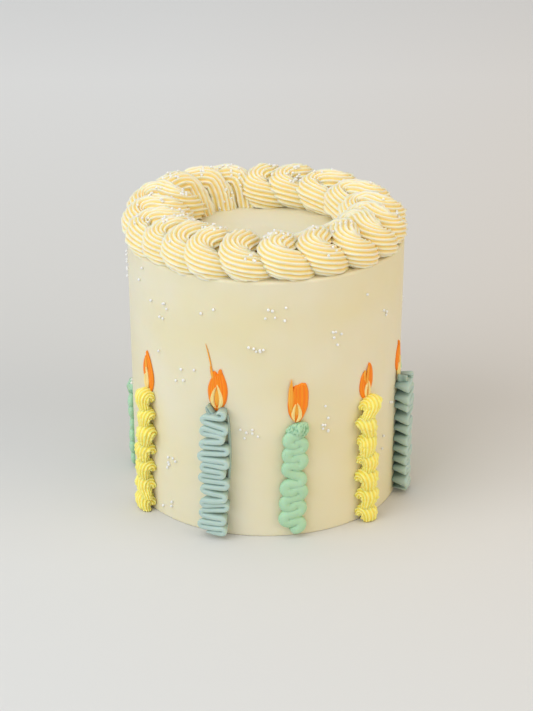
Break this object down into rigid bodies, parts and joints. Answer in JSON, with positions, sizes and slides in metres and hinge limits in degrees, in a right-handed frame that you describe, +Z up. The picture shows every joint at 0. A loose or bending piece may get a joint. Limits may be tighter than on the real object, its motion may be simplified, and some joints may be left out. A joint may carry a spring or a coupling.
{
  "type": "birthday cake",
  "caption": "tall round buttercream cake with a rope border of piped swirls round the top edge and candles piped in coloured icing against its side",
  "frame": {"origin": "centre of the cake's flat base", "axes": "+Z up out of the cake's top, -Y the front, where a green candle stands just right of the middle, +X to the right seen from the front"},
  "size_m": [0.1703, 0.1716, 0.1756],
  "materials": {
    "ivory_icing": "smoothed ivory buttercream, satin",
    "cream_icing": "piped cream buttercream, golden in its grooves, with a soft sheen",
    "yellow_icing": "piped pale yellow buttercream",
    "blue_icing": "piped dusty blue buttercream",
    "green_icing": "piped mint green buttercream with small air pits",
    "orange_icing": "thin smear of vivid orange icing",
    "gold_icing": "thin smear of pale golden icing",
    "sugar_pearl": "white sugar pearls, satin"
  },
  "bodies": {
    "root": {"border_strand_01": "cream_icing", "border_strand_02": "cream_icing", "border_strand_03": "cream_icing", "border_strand_04": "cream_icing", "border_strand_05": "cream_icing", "border_strand_06": "cream_icing", "border_strand_07": "cream_icing", "border_strand_08": "cream_icing", "border_strand_09": "cream_icing", "border_strand_10": "cream_icing", "border_strand_11": "cream_icing", "border_strand_12": "cream_icing", "border_strand_13": "cream_icing", "border_strand_14": "cream_icing", "border_strand_15": "cream_icing", "border_strand_16": "cream_icing", "border_strand_17": "cream_icing", "border_strand_18": "cream_icing", "border_strand_19": "cream_icing", "border_strand_20": "cream_icing", "cake": "ivory_icing", "candle_blue_03": "blue_icing", "candle_blue_06": "blue_icing", "candle_blue_09": "blue_icing", "candle_green_01": "green_icing", "candle_green_04": "green_icing", "candle_green_07": "green_icing", "candle_green_10": "green_icing", "candle_yellow_02": "yellow_icing", "candle_yellow_05": "yellow_icing", "candle_yellow_08": "yellow_icing", "candle_yellow_11": "yellow_icing", "flame_01": "orange_icing", "flame_02": "orange_icing", "flame_03": "orange_icing", "flame_04": "orange_icing", "flame_05": "orange_icing", "flame_06": "orange_icing", "flame_07": "orange_icing", "flame_08": "orange_icing", "flame_09": "orange_icing", "flame_10": "orange_icing", "flame_11": "orange_icing", "flame_heart_01": "gold_icing", "flame_heart_02": "gold_icing", "flame_heart_03": "gold_icing", "flame_heart_04": "gold_icing", "flame_heart_05": "gold_icing", "flame_heart_06": "gold_icing", "flame_heart_07": "gold_icing", "flame_heart_08": "gold_icing", "flame_heart_09": "gold_icing", "flame_heart_10": "gold_icing", "flame_heart_11": "gold_icing"}
  },
  "joints": []
}
